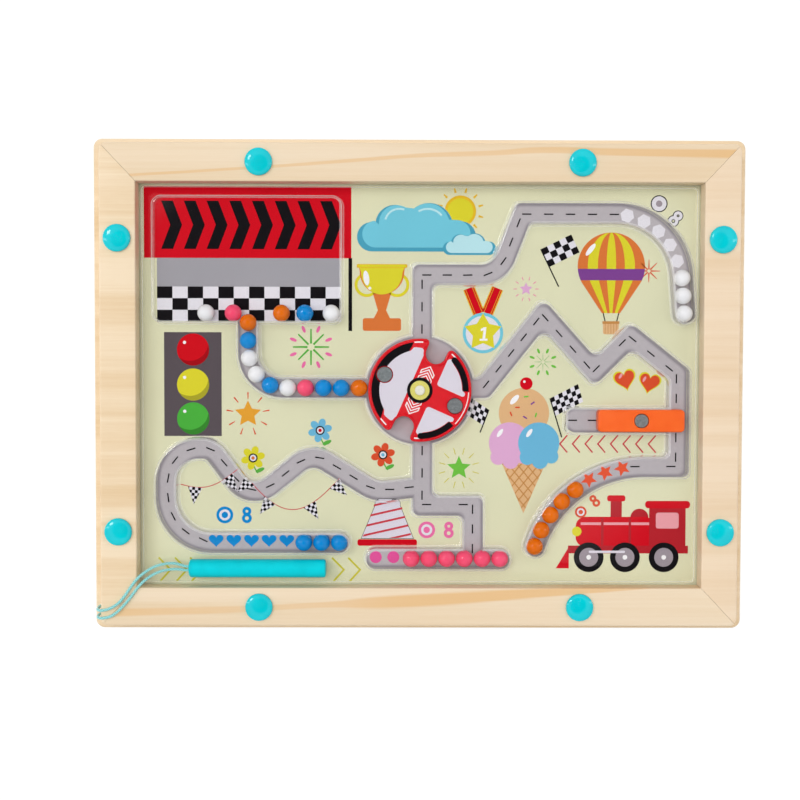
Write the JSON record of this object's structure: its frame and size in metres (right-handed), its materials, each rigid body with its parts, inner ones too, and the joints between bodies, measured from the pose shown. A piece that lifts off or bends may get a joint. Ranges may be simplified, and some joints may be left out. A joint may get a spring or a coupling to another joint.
{
  "type": "magnetic maze board",
  "caption": "Framed magnetic bead maze: steel-cored beads under a clear moulded cover, led by a pen along raised lanes through a turning gate and past a slider.",
  "frame": {"origin": "middle of the back board's flat back face", "axes": "+X to the right of the picture, +Y up the picture, +Z out of the face; the board lies on its back"},
  "size_m": [0.3, 0.226, 0.0206],
  "materials": {
    "pine": "sanded, clear matt lacquer",
    "print": "satin printed sheet on fibreboard",
    "clear_cover": "clear, glossy",
    "turquoise": "glossy moulded",
    "cord": "braided",
    "rotor_red": "printed, satin",
    "slider_orange": "satin moulded",
    "steel": "brushed",
    "axle_white": "satin moulded",
    "magnet": "satin",
    "bead_white": "gloss",
    "bead_pink": "gloss",
    "bead_orange": "gloss",
    "bead_blue": "gloss"
  },
  "bodies": {
    "root": {"back_board": "pine", "printed_board": "print", "clear_cover": "clear_cover", "rail_top": "pine", "rail_bottom": "pine", "rail_left": "pine", "rail_right": "pine", "rivet_1": "turquoise", "rivet_2": "turquoise", "rivet_3": "turquoise", "rivet_4": "turquoise", "rivet_5": "turquoise", "rivet_6": "turquoise", "rivet_7": "turquoise", "rivet_8": "turquoise", "rotor_axle": "axle_white", "cord_strand_upper": "cord", "cord_strand_lower": "cord"},
    "rotor": {"gate_rotor": "rotor_red", "rotor_steel_disc_1": "steel", "rotor_steel_disc_2": "steel"},
    "slider": {"slider_bar": "slider_orange", "slider_steel_disc": "steel"},
    "pen": {"pen_barrel": "turquoise", "pen_magnet": "magnet", "pen_tail_plug": "turquoise"},
    "bead_start_1": {"bead_start_1": "bead_white"},
    "bead_start_2": {"bead_start_2": "bead_pink"},
    "bead_start_3": {"bead_start_3": "bead_orange"},
    "bead_start_4": {"bead_start_4": "bead_blue"},
    "bead_start_5": {"bead_start_5": "bead_white"},
    "bead_queue_1": {"bead_queue_1": "bead_orange"},
    "bead_queue_2": {"bead_queue_2": "bead_blue"},
    "bead_queue_3": {"bead_queue_3": "bead_blue"},
    "bead_queue_4": {"bead_queue_4": "bead_pink"},
    "bead_queue_5": {"bead_queue_5": "bead_white"},
    "bead_queue_6": {"bead_queue_6": "bead_blue"},
    "bead_queue_7": {"bead_queue_7": "bead_white"},
    "bead_queue_8": {"bead_queue_8": "bead_white"},
    "bead_queue_9": {"bead_queue_9": "bead_blue"},
    "bead_queue_10": {"bead_queue_10": "bead_orange"},
    "bead_blue_1": {"bead_blue_1": "bead_blue"},
    "bead_blue_2": {"bead_blue_2": "bead_blue"},
    "bead_blue_3": {"bead_blue_3": "bead_blue"},
    "bead_pink_1": {"bead_pink_1": "bead_pink"},
    "bead_pink_2": {"bead_pink_2": "bead_pink"},
    "bead_pink_3": {"bead_pink_3": "bead_pink"},
    "bead_pink_4": {"bead_pink_4": "bead_pink"},
    "bead_pink_5": {"bead_pink_5": "bead_pink"},
    "bead_pink_6": {"bead_pink_6": "bead_pink"},
    "bead_white_1": {"bead_white_1": "bead_white"},
    "bead_white_2": {"bead_white_2": "bead_white"},
    "bead_white_3": {"bead_white_3": "bead_white"},
    "bead_orange_1": {"bead_orange_1": "bead_orange"},
    "bead_orange_2": {"bead_orange_2": "bead_orange"},
    "bead_orange_3": {"bead_orange_3": "bead_orange"},
    "bead_orange_4": {"bead_orange_4": "bead_orange"},
    "bead_orange_5": {"bead_orange_5": "bead_orange"}
  },
  "joints": [
    {"name": "rotor_spin", "type": "hinge", "parent": "root", "child": "rotor", "pos_m": [0, -0.00202, 0.0081], "axis": [0, 0, 1], "continuous": true},
    {"name": "slider_slide", "type": "slide", "parent": "root", "child": "slider", "axis": [-1, 0, 0], "range_m": [0, 0.014]},
    {"name": "pen_lift", "type": "slide", "parent": "root", "child": "pen", "axis": [0, 0, 1], "range_m": [0, 0.02]},
    {"name": "start_1_roll", "type": "slide", "parent": "root", "child": "bead_start_1", "axis": [0, 1, 0], "range_m": [0, 0.045]},
    {"name": "start_2_roll", "type": "slide", "parent": "root", "child": "bead_start_2", "axis": [0, 1, 0], "range_m": [0, 0.045]},
    {"name": "start_3_roll", "type": "slide", "parent": "root", "child": "bead_start_3", "axis": [0, 1, 0], "range_m": [0, 0.045]},
    {"name": "start_4_roll", "type": "slide", "parent": "root", "child": "bead_start_4", "axis": [0, 1, 0], "range_m": [0, 0.045]},
    {"name": "start_5_roll", "type": "slide", "parent": "root", "child": "bead_start_5", "axis": [0, 1, 0], "range_m": [0, 0.045]},
    {"name": "queue_1_roll", "type": "slide", "parent": "root", "child": "bead_queue_1", "axis": [-1, 0, 0], "range_m": [0, 0.00815]},
    {"name": "queue_2_roll", "type": "slide", "parent": "root", "child": "bead_queue_2", "axis": [-1, 0, 0], "range_m": [0, 0.00815]},
    {"name": "queue_3_roll", "type": "slide", "parent": "root", "child": "bead_queue_3", "axis": [-1, 0, 0], "range_m": [0, 0.00815]},
    {"name": "queue_4_roll", "type": "slide", "parent": "root", "child": "bead_queue_4", "axis": [-1, 0, 0], "range_m": [0, 0.00815]},
    {"name": "queue_5_roll", "type": "slide", "parent": "root", "child": "bead_queue_5", "axis": [-0.989, 0.1481, 0], "range_m": [0, 0.00812]},
    {"name": "queue_6_roll", "type": "slide", "parent": "root", "child": "bead_queue_6", "axis": [-0.7822, 0.623, 0], "range_m": [0, 0.00803]},
    {"name": "queue_7_roll", "type": "slide", "parent": "root", "child": "bead_queue_7", "axis": [-0.3979, 0.9174, 0], "range_m": [0, 0.008]},
    {"name": "queue_8_roll", "type": "slide", "parent": "root", "child": "bead_queue_8", "axis": [-0.0603, 0.9982, 0], "range_m": [0, 0.00812]},
    {"name": "queue_9_roll", "type": "slide", "parent": "root", "child": "bead_queue_9", "axis": [0, 1, 0], "range_m": [0, 0.00815]},
    {"name": "queue_10_roll", "type": "slide", "parent": "root", "child": "bead_queue_10", "axis": [0.359, 0.9333, 0], "range_m": [0, 0.00815]},
    {"name": "blue_1_roll", "type": "slide", "parent": "root", "child": "bead_blue_1", "axis": [-1, 0, 0], "range_m": [0, 0.04]},
    {"name": "blue_2_roll", "type": "slide", "parent": "root", "child": "bead_blue_2", "axis": [-1, 0, 0], "range_m": [0, 0.04]},
    {"name": "blue_3_roll", "type": "slide", "parent": "root", "child": "bead_blue_3", "axis": [-1, 0, 0], "range_m": [0, 0.04]},
    {"name": "pink_1_roll", "type": "slide", "parent": "root", "child": "bead_pink_1", "axis": [-1, 0, 0], "range_m": [0, 0.014]},
    {"name": "pink_2_roll", "type": "slide", "parent": "root", "child": "bead_pink_2", "axis": [-1, 0, 0], "range_m": [0, 0.014]},
    {"name": "pink_3_roll", "type": "slide", "parent": "root", "child": "bead_pink_3", "axis": [-1, 0, 0], "range_m": [0, 0.014]},
    {"name": "pink_4_roll", "type": "slide", "parent": "root", "child": "bead_pink_4", "axis": [-1, 0, 0], "range_m": [0, 0.014]},
    {"name": "pink_5_roll", "type": "slide", "parent": "root", "child": "bead_pink_5", "axis": [-1, 0, 0], "range_m": [0, 0.014]},
    {"name": "pink_6_roll", "type": "slide", "parent": "root", "child": "bead_pink_6", "axis": [-1, 0, 0], "range_m": [0, 0.014]},
    {"name": "white_1_roll", "type": "slide", "parent": "root", "child": "bead_white_1", "axis": [-0.076, 0.9971, 0], "range_m": [0, 0.006]},
    {"name": "white_2_roll", "type": "slide", "parent": "root", "child": "bead_white_2", "axis": [-0.076, 0.9971, 0], "range_m": [0, 0.006]},
    {"name": "white_3_roll", "type": "slide", "parent": "root", "child": "bead_white_3", "axis": [-0.076, 0.9971, 0], "range_m": [0, 0.006]},
    {"name": "orange_1_roll", "type": "hinge", "parent": "root", "child": "bead_orange_1", "pos_m": [0.10291, -0.08957, 0.012], "axis": [0, 0, -1], "range_deg": [0, 30]},
    {"name": "orange_2_roll", "type": "hinge", "parent": "root", "child": "bead_orange_2", "pos_m": [0.10291, -0.08957, 0.012], "axis": [0, 0, -1], "range_deg": [0, 30]},
    {"name": "orange_3_roll", "type": "hinge", "parent": "root", "child": "bead_orange_3", "pos_m": [0.10291, -0.08957, 0.012], "axis": [0, 0, -1], "range_deg": [0, 30]},
    {"name": "orange_4_roll", "type": "hinge", "parent": "root", "child": "bead_orange_4", "pos_m": [0.10291, -0.08957, 0.012], "axis": [0, 0, -1], "range_deg": [0, 30]},
    {"name": "orange_5_roll", "type": "hinge", "parent": "root", "child": "bead_orange_5", "pos_m": [0.10291, -0.08957, 0.012], "axis": [0, 0, -1], "range_deg": [0, 30]}
  ],
  "couplings": [
    {"joint": "queue_2_roll", "follows": "queue_1_roll", "ratio": 1},
    {"joint": "queue_3_roll", "follows": "queue_1_roll", "ratio": 1},
    {"joint": "queue_4_roll", "follows": "queue_1_roll", "ratio": 1},
    {"joint": "queue_5_roll", "follows": "queue_1_roll", "ratio": 0.99651},
    {"joint": "queue_6_roll", "follows": "queue_1_roll", "ratio": 0.98555},
    {"joint": "queue_7_roll", "follows": "queue_1_roll", "ratio": 0.98099},
    {"joint": "queue_8_roll", "follows": "queue_1_roll", "ratio": 0.9958},
    {"joint": "queue_9_roll", "follows": "queue_1_roll", "ratio": 1},
    {"joint": "queue_10_roll", "follows": "queue_1_roll", "ratio": 1},
    {"joint": "blue_2_roll", "follows": "blue_1_roll", "ratio": 1},
    {"joint": "blue_3_roll", "follows": "blue_1_roll", "ratio": 1},
    {"joint": "pink_2_roll", "follows": "pink_1_roll", "ratio": 1},
    {"joint": "pink_3_roll", "follows": "pink_1_roll", "ratio": 1},
    {"joint": "pink_4_roll", "follows": "pink_1_roll", "ratio": 1},
    {"joint": "pink_5_roll", "follows": "pink_1_roll", "ratio": 1},
    {"joint": "pink_6_roll", "follows": "pink_1_roll", "ratio": 1},
    {"joint": "white_2_roll", "follows": "white_1_roll", "ratio": 1},
    {"joint": "white_3_roll", "follows": "white_1_roll", "ratio": 1},
    {"joint": "orange_2_roll", "follows": "orange_1_roll", "ratio": 1},
    {"joint": "orange_3_roll", "follows": "orange_1_roll", "ratio": 1},
    {"joint": "orange_4_roll", "follows": "orange_1_roll", "ratio": 1},
    {"joint": "orange_5_roll", "follows": "orange_1_roll", "ratio": 1}
  ]
}
